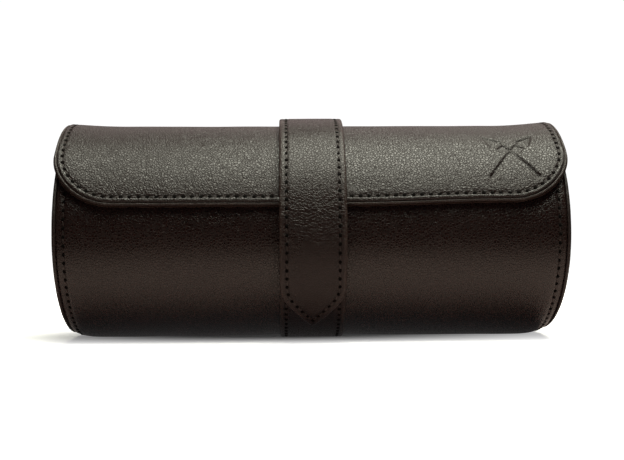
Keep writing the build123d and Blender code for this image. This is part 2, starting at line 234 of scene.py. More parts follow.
def node_group(name, inputs, outputs):
    """An empty shader node group with float sockets, its inputs and its end node."""
    group = bpy.data.node_groups.new(name, "ShaderNodeTree")
    for label, start in inputs.items():
        socket = group.interface.new_socket(
            name=label, in_out="INPUT", socket_type="NodeSocketFloat"
        )
        socket.default_value = start
    for label in outputs:
        group.interface.new_socket(name=label, in_out="OUTPUT", socket_type="NodeSocketFloat")
    return group, wire(group, "NodeGroupInput", {}).outputs, wire(group, "NodeGroupOutput", {})


def maths(tree, operation, *values, clamp=False):
    """A Math node on sockets or plain numbers; returns its output."""
    inputs = dict(enumerate(values))
    return wire(
        tree, "ShaderNodeMath", inputs, operation=operation, use_clamp=clamp
    ).outputs[0]


def noise_at(tree, place, scale, **inputs):
    """A Noise Texture read at a place."""
    inputs.update(Vector=place, Scale=scale)
    return wire(tree, "ShaderNodeTexNoise", inputs).outputs


def object_place(tree):
    """The point on the object itself, so that a pattern stays on the leather."""
    return wire(tree, "ShaderNodeTexCoord", {}).outputs["Object"]


def hide_grain_group():
    """Pebble grain: rounded cells parted by fine valleys, with slack creases over them."""
    group, given, result = node_group(
        "hide_grain", {"Cell size": 0.0009, "Crease": 0.4}, ("Height", "Hollows", "Tone")
    )
    place = object_place(group)
    density = maths(group, "DIVIDE", 1.0, given["Cell size"])
    bend = noise_at(group, place, 700, Detail=2)["Color"]
    shift = wire(
        group,
        "ShaderNodeVectorMath",
        {0: bend, 1: (0.0007, 0.0007, 0.0007), 2: place},
        operation="MULTIPLY_ADD",
    )
    cells = wire(
        group,
        "ShaderNodeTexVoronoi",
        {"Vector": shift.outputs["Vector"], "Scale": density},
        feature="DISTANCE_TO_EDGE",
    )
    pebble = wire(
        group,
        "ShaderNodeMapRange",
        {"Value": cells.outputs["Distance"], "From Min": 0.0, "From Max": 0.22},
        interpolation_type="SMOOTHERSTEP",
    ).outputs["Result"]
    creases = noise_at(group, place, 330, Detail=5, Roughness=0.65, Distortion=0.8)["Fac"]
    slack = maths(group, "MULTIPLY", creases, given["Crease"])
    fine = maths(group, "MULTIPLY", noise_at(group, place, 3600, Detail=2)["Fac"], 0.18)
    coarse = maths(group, "MULTIPLY", pebble, 0.45)
    feed(group, result, {
        "Height": maths(group, "ADD", maths(group, "ADD", coarse, slack), fine),
        "Hollows": maths(group, "SUBTRACT", 1.0, pebble),
        "Tone": noise_at(group, place, 28, Detail=6, Roughness=0.6)["Fac"],
    })
    return group


def rim_mark(tree):
    """The mark that a piece carries on its rim: 1 at the edge, 0 further in."""
    return wire(tree, "ShaderNodeAttribute", {}, attribute_name="rim").outputs["Fac"]


def edge_wear_group():
    """Rubbed edges: strongest on the rim that a piece marks, broken up by a fine noise."""
    group, given, result = node_group(
        "edge_wear", {"Amount": 0.5, "Patch size": 0.004}, ("Mask",)
    )
    density = maths(group, "DIVIDE", 1.0, given["Patch size"])
    patches = noise_at(group, object_place(group), density, Detail=4)["Fac"]
    worn = maths(group, "MULTIPLY", rim_mark(group), maths(group, "ADD", patches, 0.25))
    feed(group, result, {"Mask": maths(group, "MULTIPLY", worn, given["Amount"], clamp=True)})
    return group


HIDE_GRAIN = hide_grain_group()
EDGE_WEAR = edge_wear_group()


def emboss(tree, shader, height, strength, distance):
    """Raises a shader's surface by a height that changes over it."""
    inputs = {"Strength": strength, "Distance": distance, "Height": height}
    bump = wire(tree, "ShaderNodeBump", inputs)
    feed(tree, shader, {"Normal": bump.outputs["Normal"]})


def hide(name, cell=0.0010, crease=0.9, wear=0.6, depth=0.00026, roughness=0.34, shine=0.5):
    """Leather of the case, with its grain size, slackness, wear and gloss."""
    made, tree, shader = material(name)
    sizes = {"Cell size": cell, "Crease": crease}
    grain = wire(tree, "ShaderNodeGroup", sizes, node_tree=HIDE_GRAIN).outputs
    rubbed = wire(tree, "ShaderNodeGroup", {"Amount": wear}, node_tree=EDGE_WEAR).outputs
    warm = (HIDE_BROWN[0] * 0.72, HIDE_BROWN[1] * 0.66, HIDE_BROWN[2] * 0.66, 1)
    body = colour_mix(tree, grain["Tone"], warm, HIDE_BROWN)
    body = colour_mix(tree, maths(tree, "MULTIPLY", grain["Hollows"], 0.55), body, HIDE_HOLLOW)
    body = colour_mix(tree, rubbed["Mask"], body, HIDE_PALE)
    dull = maths(tree, "MULTIPLY_ADD", grain["Hollows"], 0.22, roughness - 0.03)
    dull = maths(tree, "MULTIPLY_ADD", grain["Tone"], 0.10, dull)
    feed(tree, shader, {"Base Color": body, "Roughness": dull, "Specular IOR Level": shine})
    emboss(tree, shader, grain["Height"], 0.9, depth)
    return made


def cover(finish, *names):
    """Gives CAD pieces a finish."""
    for name in names:
        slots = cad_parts[name].data.materials
        slots.clear()
        slots.append(finish)


HIDE_SMOOTH = hide("hide_smooth", cell=0.0009, crease=0.3, depth=0.00012, roughness=0.36)
HIDE_GRAINED = hide("hide_grained")
cover(HIDE_SMOOTH, "lip_facing", "right_gusset", "left_gusset")


# ---- body leather ---------------------------------------------------------------------------
# The outer hide of the wall: one sheet bent round the board from the back edge of the mouth,
# under the roll and up to the front lip. It is glued to its board, which never shows, and both
# long edges are turned in over it. Its ends are drawn in to the piped seams.
WAIST_R = 0.0410
WALL_END = ROLL_END - 0.0013
HINGE_DEG = 114.0
MOUTH_FRONT_DEG = 398.0
SHOULDER = 0.0080
DRAWN_IN = 0.0011
BODY_STITCH_INSET = 0.0031
RIM_WIDTH = 0.0018
SLUMP_START = 0.083


def smooth(value, low, high):
    """0 below low, 1 above high and an even S between them."""
    share = min(1.0, max(0.0, (value - low) / (high - low)))
    return share * share * (3 - 2 * share)


def on_roll(x, angle, radius):
    """Point at a distance along the roll, an angle round it and a radius."""
    turn = radians(angle)
    return Vector((x, -radius * cos(turn), AXIS_HEIGHT + radius * sin(turn)))


def outline(corners, inset, arc_steps, side_steps):
    """Closed line inside a polygon with rounded corners. Its number of points never changes.

    corners are (x, y, radius), anticlockwise. Each corner gives arc_steps[i] + 1 points, and
    side_steps[i] are the fractions of the straight that follows it where more points lie.
    """
    count = len(corners)
    sides = []
    for here in range(count):
        start = Vector(corners[here][:2])
        along = (Vector(corners[(here + 1) % count][:2]) - start).normalized()
        inward = Vector((-along.y, along.x))
        sides.append((start + inward * inset, along, inward))
    points = []
    arcs = []
    for here in range(count):
        before_start, before, before_inward = sides[here - 1]
        after_start, after, _ = sides[here]
        turn = atan2(before.cross(after), before.dot(after))
        gap = (after_start - before_start).cross(after) / before.cross(after)
        corner = before_start + before * gap
        radius = max(corners[here][2] - inset, 0.00004)
        reach = radius * tan(turn / 2)
        centre = corner - before * reach + before_inward * radius
        arm = -before_inward * radius
        steps = arc_steps[here]
        arc = []
        for step in range(steps + 1):
            swing = turn * step / steps
            arc.append(
                centre
                + Vector((
                    arm.x * cos(swing) - arm.y * sin(swing),
                    arm.x * sin(swing) + arm.y * cos(swing),
                ))
            )
        arcs.append(arc)
    for here in range(count):
        points.extend(arcs[here])
        start, end = arcs[here][-1], arcs[(here + 1) % count][0]
        points.extend(start.lerp(end, share) for share in side_steps[here])
    return points


def edge_distance(x, along, inset):
    """How far a point of a sheet lies from an edge that gets rubbed."""
    return inset


def smooth_piece(name, vertices, faces):
    """A smooth-shaded object."""
    mesh = bpy.data.meshes.new(name)
    mesh.from_pydata(vertices, [], faces)
    mesh.shade_smooth()
    return new_object(name, mesh)


def leather_sheet(name, line, grid, profile, place, relief=None, worn=edge_distance):
    """A cut sheet with worked edges, as one closed mesh.

    line(inset) gives its outline; grid is (first, columns, rows), the outline's point at the
    front left corner and the counts along the front and up the side; profile lists (inset,
    height) from the middle of the underside, round the edge, to the middle of the top.
    """
    first, columns, rows = grid
    vertices, rim, faces = [], [], []
    size = 2 * (columns + rows)

    def ring(inset):
        points = line(inset)
        assert len(points) == size, (name, len(points), size)
        return [points[(first + step) % size] for step in range(size)]

    def add(point, height, inset):
        vertices.append(place(point.x, point.y, height))
        rim.append(max(0.0, 1 - max(worn(point.x, point.y, inset), 0) / RIM_WIDTH))
        return len(vertices) - 1

    rings = []
    for inset, height in profile:
        rings.append([add(point, height, inset) for point in ring(inset)])
    for lower, upper in zip(rings, rings[1:]):
        for step in range(size):
            after = (step + 1) % size
            faces.append((lower[step], lower[after], upper[after], upper[step]))

    for border, (inset, height), top in (
        (rings[0], profile[0], False),
        (rings[-1], profile[-1], True),
    ):
        points = ring(inset)
        front = points[: columns + 1]
        right = points[columns : columns + rows + 1]
        back = points[columns + rows : 2 * columns + rows + 1][::-1]
        left = [points[-step % size] for step in range(rows + 1)]
        sheet_rows = [border[: columns + 1]]
        for row in range(1, rows):
            up = (right[row].y - right[0].y) / (right[rows].y - right[0].y)
            strip = [border[-row % size]]
            for column in range(1, columns):
                span = front[columns].x - front[0].x
                across = (front[column].x - front[0].x) / span
                point = front[column].lerp(back[column], up)
                point = point + left[row].lerp(right[row], across)
                point = point - front[0].lerp(front[columns], across).lerp(
                    back[0].lerp(back[columns], across), up
                )
                raised = relief(point.x, point.y) if relief and top else 0.0
                strip.append(add(point, height + raised, inset))
            strip.append(border[columns + row])
            sheet_rows.append(strip)
        sheet_rows.append([border[(-rows - step) % size] for step in range(columns + 1)])
        for lower, upper in zip(sheet_rows, sheet_rows[1:]):
            for column in range(columns):
                face = (lower[column], lower[column + 1], upper[column + 1], upper[column])
                faces.append(face if top else face[::-1])

    made = smooth_piece(name, vertices, faces)
    mark = made.data.attributes.new("rim", "FLOAT", "POINT")
    mark.data.foreach_set("value", rim)
    return made


def four_corners(half, length, front_r, back_r):
    """The corners of a sheet that runs from 0 back to its length."""
    return [
        (-half, 0, front_r), (half, 0, front_r), (half, length, back_r), (-half, length, back_r)
    ]


def fractions(count):
    """Even fractions that leave count equal spans."""
    return [step / count for step in range(1, count)]


def body_radius(x):
    """Outer radius of the wall's leather: straight, then drawn in towards the end seams."""
    reach = (abs(x) - (WALL_END - SHOULDER)) / SHOULDER
    return WAIST_R + 0.0001 - DRAWN_IN * max(0.0, min(1.0, reach)) ** 2.2


def end_slump(point):
    """The ends aren't quite round: each is pushed up a little underneath, the right one more."""
    reach = max(0.0, (abs(point.x) - SLUMP_START) / (ROLL_END - SLUMP_START))
    low = max(0.0, (AXIS_HEIGHT - point.z) / WAIST_R)
    push = 0.0015 if point.x > 0 else 0.0009
    inward = -push if point.x > 0 else push
    share = reach**1.8 * low**2.2
    return point + Vector((inward * share, 0, push * share))


def on_body(x, along, height):
    """Place on the body: along runs from the back edge of the mouth, underneath, to the lip."""
    angle = HINGE_DEG + degrees(along / WAIST_R)
    slack = 0.00012 * noise.noise(Vector((x * 60, along * 45, 3.1)))
    sag = 0.0007 * exp(-(((angle - 270) / 24) ** 2)) * (1 - exp(-((x / 0.02) ** 2)))
    point = end_slump(on_roll(x, angle, body_radius(x) + height + slack + sag))
    point.z = max(point.z, 0.00002)
    return point


BODY_LENGTH = WAIST_R * radians(MOUTH_FRONT_DEG - HINGE_DEG)
BODY_CORNERS = four_corners(WALL_END, BODY_LENGTH, 0.0012, 0.0012)
BODY_PROFILE = [
    (0.0050, -0.0014), (0.0014, -0.0014), (0.0004, -0.00132), (0.0000, -0.0009),
    (0.0001, -0.0004), (0.0004, -0.0001), (0.0009, 0.0), (0.0022, 0.0), (0.0027, -0.00014),
    (BODY_STITCH_INSET, -0.00028), (0.0035, -0.00014), (0.0039, 0.0), (0.0050, 0.0),
]
body_sides = [fractions(90), fractions(120), fractions(90), fractions(120)]
body_leather = leather_sheet(
    "body_hide",
    lambda inset: outline(BODY_CORNERS, inset, [4, 4, 4, 4], body_sides),
    (2, 94, 124),
    BODY_PROFILE,
    on_body,
)
HIDE_BODY = hide("hide_body", crease=0.9, wear=0.4, depth=0.00012, roughness=0.20, shine=0.46)
body_leather.data.materials.append(HIDE_BODY)
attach(body_leather, "root")
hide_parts("body_leather", "body_board")


# ---- round ends -----------------------------------------------------------------------------
# A disc of the same hide over a board closes each end. It is glued down, so it is very
# slightly domed, and pulled in where the piped seam holds its edge. The piping is a thin cord
# wrapped in hide, caught in the seam all round.
DISC_R = 0.0394
DISC_IN = ROLL_END - 0.0016
BEAD_R = 0.00072
BEAD_RING_R = 0.03985
BEAD_X = ROLL_END - BEAD_R
BEAD_SIDES = 10
DISC_STEPS = 96
DISC_PROFILE = [
    (0.0, 0.0), (0.5, 0.0), (0.96, 0.0), (1.0, 0.0003), (1.0, 0.0007), (0.985, 0.00100),
    (0.965, 0.00105), (0.945, 0.00120), (0.92, 0.00130), (0.80, 0.00145), (0.65, 0.00160),
    (0.50, 0.00172), (0.35, 0.00180), (0.20, 0.00186), (0.08, 0.00189), (0.0, 0.00190),
]
for side, side_name in ((1, "right"), (-1, "left")):
    vertices, faces, rings = [], [], []
    for share, rise in DISC_PROFILE:
        if share == 0:
            vertices.append((side * (DISC_IN + rise), 0, AXIS_HEIGHT))
            rings.append([len(vertices) - 1] * DISC_STEPS)
            continue
        around = []
        for step in range(DISC_STEPS):
            turn = 2 * pi * step / DISC_STEPS
            radius = DISC_R * share
            across, up = radius * cos(turn), radius * sin(turn)
            slack = 0.00015 * share * noise.noise(Vector((across * 60, up * 60, side * 5)))
            place = Vector((side * (DISC_IN + rise + slack), across, AXIS_HEIGHT + up))
            vertices.append(end_slump(place))
            around.append(len(vertices) - 1)
        rings.append(around)
    for lower, upper in zip(rings, rings[1:]):
        for step in range(DISC_STEPS):
            after = (step + 1) % DISC_STEPS
            face = [lower[step], lower[after], upper[after], upper[step]]
            face = list(dict.fromkeys(face))
            faces.append(face if side > 0 else face[::-1])
    end_hide = smooth_piece(f"{side_name}_end_hide", vertices, faces)
    end_hide.data.materials.append(HIDE_GRAINED)
    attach(end_hide, "root")
    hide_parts(f"{side_name}_end_leather", f"{side_name}_end_board")

    vertices, faces = [], []
    for step in range(2 * DISC_STEPS):
        turn = pi * step / DISC_STEPS
        for part in range(BEAD_SIDES):
            swing = 2 * pi * part / BEAD_SIDES
            radius = BEAD_RING_R + BEAD_R * cos(swing)
            pucker = 0.00004 * sin(24 * turn + side)
            place = Vector((
                side * (BEAD_X + BEAD_R * sin(swing)),
                (radius + pucker) * cos(turn),
                AXIS_HEIGHT + (radius + pucker) * sin(turn),
            ))
            vertices.append(end_slump(place))
            after = (step + 1) % (2 * DISC_STEPS)
            round_on = (part + 1) % BEAD_SIDES
            here, there = step * BEAD_SIDES, after * BEAD_SIDES
            face = (here + part, there + part, there + round_on, here + round_on)
            faces.append(face if side > 0 else face[::-1])
    bead = smooth_piece(f"{side_name}_bead", vertices, faces)
    bead.data.materials.append(HIDE_SMOOTH)
    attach(bead, "root")
    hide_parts(f"{side_name}_piping")


# ---- flap -----------------------------------------------------------------------------------
# One panel of hide runs from the seam on the back, over the fold, down to the rounded front
# edge. Its edge is turned and rolled, and a row of stitches lies 3 mm inside it. It stands a
# little off the body at both sides.
FLAP_EDGE_DEG = 14.2
FLAP_SEAM_DEG = 136.4
FLAP_R = WAIST_R + 0.0027
FLAP_HALF = ROLL_END + 0.0005
FLAP_CORNER = 0.0225
FLAP_STITCH_INSET = 0.0031
CURL_START = 0.072


def flap_lift(x):
    """How far the flap stands off at a place along it: the sides curl up, the right one more."""
    curl = 0.0012 if x < 0 else 0.0016
    return curl * max(0.0, (abs(x) - CURL_START) / (FLAP_HALF - CURL_START)) ** 1.7


def on_flap(x, along, height):
    """Place on the flap: along runs from its front edge to the seam on the back."""
    held = FLAP_EDGE_DEG + degrees(along / FLAP_R)
    loose = 1 - smooth(held, HINGE_DEG - 26, HINGE_DEG + 2)
    front = exp(-along / 0.012)
    along += 0.0012 * smooth(x, 0.015, 0.070) * exp(-along / 0.020)
    angle = FLAP_EDGE_DEG + degrees(along / FLAP_R)
    wave = 0.00022 * front * noise.noise(Vector((x * 75, along * 30, 7.7)))
    bulge = 0.0004 * front * (1 - exp(-((x / 0.03) ** 2)))
    slack = 0.00015 * noise.noise(Vector((x * 55, along * 60, 1.3)))
    radius = FLAP_R + height + slack + (flap_lift(x) + wave + bulge) * loose
    return on_roll(x, angle, radius)


FLAP_LENGTH = FLAP_R * radians(FLAP_SEAM_DEG - FLAP_EDGE_DEG)
FLAP_CORNERS = four_corners(FLAP_HALF, FLAP_LENGTH, FLAP_CORNER, 0.0015)
FLAP_PROFILE = [
    (0.0055, -0.0012), (0.0016, -0.0012), (0.0009, -0.0016), (0.0004, -0.00165),
    (0.0001, -0.0014), (0.0, -0.0010), (0.0001, -0.00065), (0.0003, -0.00045),
    (0.0006, -0.00038), (0.00085, -0.00055), (0.00095, -0.00085), (0.00105, -0.00085),
    (0.00115, -0.00045), (0.0014, -0.00012), (0.0018, 0.00003), (0.0023, 0.0),
    (0.0027, -0.00018), (FLAP_STITCH_INSET, -0.00034), (0.0034, -0.00022), (0.0038, -0.00006),
    (0.0044, 0.0), (0.0055, 0.0),
]

# A plain sign is pressed into the flap's right end: two round brushes, crossed.
SIGN_X = 0.0761
SIGN_ALONG = FLAP_R * radians(41.8 - FLAP_EDGE_DEG)
SIGN_DEPTH = 0.00070
SIGN_TURN = radians(52)
SIGN_HALF = 0.0150


def capsule(x, y, start, end, start_r, end_r):
    """Signed distance to a tapered rod: below 0 inside it."""
    rod = Vector(end) - Vector(start)
    reach = Vector((x, y)) - Vector(start)
    share = max(0.0, min(1.0, reach.dot(rod) / rod.dot(rod)))
    return (reach - rod * share).length - (start_r + (end_r - start_r) * share)


def sign_relief(x, along):
    """Height of the flap's surface at the sign, in metres; 0 away from it."""
    across, up = x - SIGN_X, along - SIGN_ALONG
    if abs(across) > SIGN_HALF or abs(up) > SIGN_HALF:
        return 0.0
    shape = 9.0
    for lean in (-1, 1):
        side = (lean * across * cos(SIGN_TURN) + up * sin(SIGN_TURN)) * 1000
        rise = (-lean * across * sin(SIGN_TURN) + up * cos(SIGN_TURN)) * 1000
        handle = capsule(side, rise, (-14.0, 0), (0.5, 0), 0.9, 1.8)
        handle = max(handle, side - 1.6)
        ferrule = max(abs(side - 4.4) - 2.0, abs(rise) - 2.0)
        hair = capsule(side, rise, (9.4, 0), (14.6, 0), 2.6, 0.4)
        hair = max(hair, 7.2 - side)
        shape = min(shape, handle, ferrule, hair)
    return -SIGN_DEPTH * (1 - smooth(shape, -0.15, 0.20))


def spread(low, high, fine_low, fine_high, coarse, fine):
    """Fractions of a line from low to high, with fine spans between two places."""
    places = [low]
    for start, end, span in (
        (low, fine_low, coarse),
        (fine_low, fine_high, fine),
        (fine_high, high, coarse),
    ):
        count = max(1, round((end - start) / span))
        places.extend(start + (end - start) * step / count for step in range(1, count + 1))
    return [(place - low) / (high - low) for place in places[1:-1]]


FLAT_HALF = FLAP_HALF - FLAP_CORNER
flap_across = spread(-FLAT_HALF, FLAT_HALF, 0.058, FLAT_HALF - 0.0005, 0.0020, 0.00042)
flap_up = spread(FLAP_CORNER, FLAP_LENGTH, FLAP_CORNER + 0.0005, 0.040, 0.0018, 0.00045)
RIGHT_ARC = 72
LEFT_ARC = 16
flap_arcs = [LEFT_ARC, RIGHT_ARC, 4, 4]
flap_columns = LEFT_ARC // 2 + len(flap_across) + 1 + RIGHT_ARC // 2
flap_rows = RIGHT_ARC // 2 + len(flap_up) + 1 + 2
# The back and the left take the same spacing as the front and the right, so that the sheet's
# lines stay straight.
flap_sides = [
    flap_across,
    flap_up,
    fractions(flap_columns - 4),
    fractions(flap_rows - 2 - LEFT_ARC // 2),
]
trial = outline(FLAP_CORNERS, 0.0055, flap_arcs, flap_sides)
trial = trial[LEFT_ARC // 2 :] + trial[: LEFT_ARC // 2]
across = [point.x for point in trial[: flap_columns + 1]][2:-2]
flap_sides[2] = [(across[-1] - x) / (across[-1] - across[0]) for x in across[-2:0:-1]]
up = [point.y for point in trial[flap_columns : flap_columns + flap_rows + 1]]
up = up[LEFT_ARC // 2 : -2]
flap_sides[3] = [(up[-1] - y) / (up[-1] - up[0]) for y in up[-2:0:-1]]


def flap_line(inset):
    """The flap's outline, or a line inside it."""
    return outline(FLAP_CORNERS, inset, flap_arcs, flap_sides)


HIDE_FLAP = hide("hide_flap", crease=1.1, wear=0.7, depth=0.00030, roughness=0.32)
flap_hide = leather_sheet(
    "flap_hide",
    flap_line,
    (LEFT_ARC // 2, flap_columns, flap_rows),
    FLAP_PROFILE,
    on_flap,
    relief=sign_relief,
)
flap_hide.data.materials.append(HIDE_FLAP)
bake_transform(flap_hide)
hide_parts("flap_leather", "flap_seam")


# ---- flap lining ----------------------------------------------------------------------------
# Microfibre suede glued under the flap from the fold to its edge. It is cut a hair larger than
# the hide, so a thin wavy second edge shows all along.
LINING_PROUD = 0.0004
LINING_DROP = 0.0017
LINING_LENGTH = FLAP_R * radians(HINGE_DEG - FLAP_EDGE_DEG)
LINING_CORNERS = four_corners(FLAP_HALF, LINING_LENGTH, FLAP_CORNER, 0.0010)
LINING_PROFILE = [
    (0.0040, -0.0007), (0.0006, -0.0007), (0.0002, -0.00065), (0.0, -0.0004),
    (0.0001, -0.00012), (0.0004, 0.0), (0.0040, 0.0),
]


def on_lining(x, along, height):
    """Place on the flap's lining, which swells and slackens a little along its front edge."""
    edge = exp(-max(0.0, along) / 0.0025)
    ripple = 0.00030 * noise.noise(Vector((x * 240, along * 240, 4.4)))
    ripple += 0.00015 * noise.noise(Vector((x * 700, along * 700, 8.4)))
    return on_flap(x, along - ripple * edge, height - LINING_DROP)


def suede(name, colour, pale, scale=1.0):
    """Microfibre suede: a short matt nap in clouds, with fine flecks; where a piece marks its
    rim, the rim is darkened towards the hide's brown.
    """
    made, tree, shader = material(name)
    place = object_place(tree)
    clouds = noise_at(tree, place, 95 * scale, Detail=5, Distortion=0.6)["Fac"]
    nap = noise_at(tree, place, 2400 * scale, Detail=3)["Fac"]
    lay = wire(
        tree, "ShaderNodeMapRange", {"Value": clouds, "From Min": 0.22, "From Max": 0.80}
    ).outputs["Result"]
    dark = (colour[0] * 0.5, colour[1] * 0.5, colour[2] * 0.5, 1)
    shade = colour_mix(tree, lay, colour, pale)
    shade = colour_mix(tree, maths(tree, "MULTIPLY", nap, 0.35), shade, dark)
    # Darker towards a marked rim, blending into the hide's brown.
    darkened_rim = maths(tree, "MULTIPLY", rim_mark(tree), 0.85)
    feed(tree, shader, {
        "Base Color": colour_mix(tree, darkened_rim, shade, HIDE_BROWN),
        "Roughness": maths(tree, "MULTIPLY_ADD", nap, 0.12, 0.82),
        "Sheen Weight": 0.12,
        "Sheen Roughness": 0.5,
        "Sheen Tint": (0.9, 0.72, 0.6, 1),
        "Specular IOR Level": 0.2,
    })
    emboss(tree, shader, nap, 0.7, 0.00022)
    return made


SUEDE_BROWN = suede("suede_brown", (0.034, 0.021, 0.016, 1), (0.060, 0.040, 0.031, 1))
lining_sides = [fractions(170), fractions(60), fractions(170), fractions(60)]
LINING_ARCS = [30, 30, 30, 30]


def lining_line(inset):
    """Outline of the lining, a hair outside the hide's."""
    return outline(LINING_CORNERS, inset - LINING_PROUD, LINING_ARCS, lining_sides)


flap_lining = leather_sheet(
    "flap_suede",
    lining_line,
    (15, 200, 90),
    LINING_PROFILE,
    on_lining,
)
flap_lining.data.materials.append(SUEDE_BROWN)
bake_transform(flap_lining)
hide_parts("flap_lining")


# ---- strap ----------------------------------------------------------------------------------
# A 25 mm strap of two hides glued over a flat core, its edges painted and a row of stitches down
# each side. It is sewn on the back, dips a little at the fold, comes down the front and ends in
# a free, pointed tail that carries the magnet.
STRAP_HALF = 0.0125
STRAP_R = 0.0467
STRAP_SPLIT_DEG = 104.0
TAIL_BEND_DEG = 11.0
TAIL_TIP_DEG = -55.0
TAIL_POINT = 0.0170
STRAP_STITCH_INSET = 0.0027
TAIL_R = STRAP_R - 0.0019147
TAIL_ARC = TAIL_R * radians(TAIL_BEND_DEG - TAIL_TIP_DEG)
STRAP_LENGTH = TAIL_ARC + STRAP_R * radians(STRAP_SPLIT_DEG - TAIL_BEND_DEG)
TAIL_CENTRE = on_roll(0, TAIL_BEND_DEG, STRAP_R - TAIL_R)
STRAP_PROFILE = [
    (0.0042, -0.0030), (0.0010, -0.0030), (0.0003, -0.00293), (0.00002, -0.0026),
    (0.00002, -0.00215), (0.00016, -0.00205), (0.00018, -0.00190), (0.00002, -0.00178),
    (0.0, -0.0008), (0.00014, -0.0004), (0.00045, -0.00014), (0.0009, -0.00002), (0.0014, 0.0),
    (0.0019, -0.00004), (0.0023, -0.00018), (STRAP_STITCH_INSET, -0.00027), (0.0031, -0.00016),
    (0.0036, 0.00002), (0.0042, 0.00008),
]


def profile_height(distance, top):
    """Height of the strap's top or underside so far in from its side edge."""
    half = [step for step in STRAP_PROFILE if (step[1] > -0.0015) == top]
    half.sort()
    for (low, low_height), (high, high_height) in zip(half, half[1:]):
        if low <= distance <= high:
            return low_height + (high_height - low_height) * (distance - low) / (high - low)
    return half[0][1] if distance < half[0][0] else half[-1][1]


def run_on(x, from_split, height):
    """Near the split both halves keep the section of the strap, so they join in one surface."""
    worked = smooth(from_split, 0.0003, 0.0060)
    target = profile_height(STRAP_HALF - abs(x), height > -0.0015)
    return target + (height - target) * worked


def on_strap_front(x, along, height):
    """Place on the strap: along runs from the tail's tip up to the split behind the top."""
    height = run_on(x, STRAP_LENGTH - along, height)
    height += 0.00010 * noise.noise(Vector((x * 90, along * 70, 2.2)))
    if along <= TAIL_ARC:
        turn = radians(TAIL_TIP_DEG) + along / TAIL_R
        radius = TAIL_R + height
        centre = TAIL_CENTRE
    else:
        turn = radians(TAIL_BEND_DEG) + (along - TAIL_ARC) / STRAP_R
        radius = STRAP_R + height
        centre = roll_centre
    return centre + Vector((x, -radius * cos(turn), radius * sin(turn)))


def strap_wear(x, along, inset):
    """The strap's sides and tip get rubbed; the split isn't an edge."""
    return STRAP_HALF - abs(x) if along > STRAP_LENGTH - 0.010 else inset


HIDE_STRAP = hide("hide_strap", wear=0.8, depth=0.00022, roughness=0.26, shine=0.35)
FRONT_CORNERS = [
    (-STRAP_HALF, TAIL_POINT, 0.016), (0, 0, 0.0015), (STRAP_HALF, TAIL_POINT, 0.016),
    (STRAP_HALF, STRAP_LENGTH, 0.00005), (-STRAP_HALF, STRAP_LENGTH, 0.00005),
]
front_arcs = [12, 8, 12, 2, 2]
front_sides = [fractions(8), fractions(8), fractions(100), fractions(34), fractions(100)]


def strap_front_line(inset):
    """Outline of the strap's front part, down to its point."""
    return outline(FRONT_CORNERS, inset, front_arcs, front_sides)


strap_front = leather_sheet(
    "strap_front_hide",
    strap_front_line,
    (6, 36, 107),
    STRAP_PROFILE,
    on_strap_front,
    worn=strap_wear,
)
strap_front.data.set_sharp_from_angle(angle=radians(60))
strap_front.data.materials.append(HIDE_STRAP)
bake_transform(strap_front)
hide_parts("strap_face", "strap_backing", "tail_face", "tail_backing")

BACK_LENGTH = STRAP_R * radians(FLAP_SEAM_DEG - STRAP_SPLIT_DEG)


def on_strap_back(x, along, height):
    """Place on the strap's back part: along runs from the split to its sewn end."""
    height = run_on(x, along, height)
    height += 0.00010 * noise.noise(Vector((x * 90, (STRAP_LENGTH + along) * 70, 2.2)))
    angle = STRAP_SPLIT_DEG + degrees(along / STRAP_R)
    hollow = exp(-(((angle - HINGE_DEG - 2.0) / 5.5) ** 2)) * smooth(angle, 104.0, 109.0)
    if height > -0.0015:
        height -= 0.0006 * hollow
    return on_roll(x, angle, STRAP_R + height)


BACK_CORNERS = [
    (-STRAP_HALF, 0, 0.00005), (STRAP_HALF, 0, 0.00005), (STRAP_HALF, BACK_LENGTH, 0.0010),
    (-STRAP_HALF, BACK_LENGTH, 0.0010),
]
back_arcs = [2, 2, 4, 4]
back_sides = [fractions(34), fractions(40), fractions(32), fractions(40)]


def strap_back_line(inset):
    """Outline of the strap's back part."""
    return outline(BACK_CORNERS, inset, back_arcs, back_sides)


def strap_back_wear(x, along, inset):
    """Only the sides get rubbed here."""
    return STRAP_HALF - abs(x)


strap_back = leather_sheet(
    "strap_back_hide",
    strap_back_line,
    (1, 36, 43),
    STRAP_PROFILE,
    on_strap_back,
    worn=strap_back_wear,
)
strap_back.data.set_sharp_from_angle(angle=radians(60))
strap_back.data.materials.append(HIDE_STRAP)
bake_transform(strap_back)
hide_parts("strap_anchor")


# ---- lower strap ----------------------------------------------------------------------------
# A flat strip of hide sewn round the body from the flap's seam, under the roll and up to the
# front, where the tail comes down on it. The roll's weight presses it flat underneath.
LOWER_R = WAIST_R + 0.0013
LOWER_END_DEG = 333.0
LOWER_LENGTH = LOWER_R * radians(LOWER_END_DEG - FLAP_SEAM_DEG)
LOWER_STITCH_INSET = 0.0024
LOWER_CORNERS = [
    (-STRAP_HALF, 0, 0.0010), (STRAP_HALF, 0, 0.0010), (STRAP_HALF, LOWER_LENGTH, 0.0010),
    (-STRAP_HALF, LOWER_LENGTH, 0.0010),
]
LOWER_PROFILE = [
    (0.0040, -0.00135), (0.0006, -0.00135), (0.0001, -0.00125), (0.0, -0.0009),
    (0.00005, -0.0005), (0.0003, -0.00016), (0.0007, -0.00002), (0.0012, 0.0),
    (0.0016, -0.00004), (0.0020, -0.00016), (LOWER_STITCH_INSET, -0.00024), (0.0028, -0.00014),
    (0.0032, 0.0), (0.0040, 0.0),
]


def on_lower(x, along, height):
    """Place on the lower strap: along runs from the flap's seam, underneath, to the front."""
    angle = FLAP_SEAM_DEG + degrees(along / LOWER_R)
    height += 0.00008 * noise.noise(Vector((x * 90, along * 70, 6.1)))
    point = on_roll(x, angle, LOWER_R + height)
    point.z = max(point.z, 0.00001)
    return point


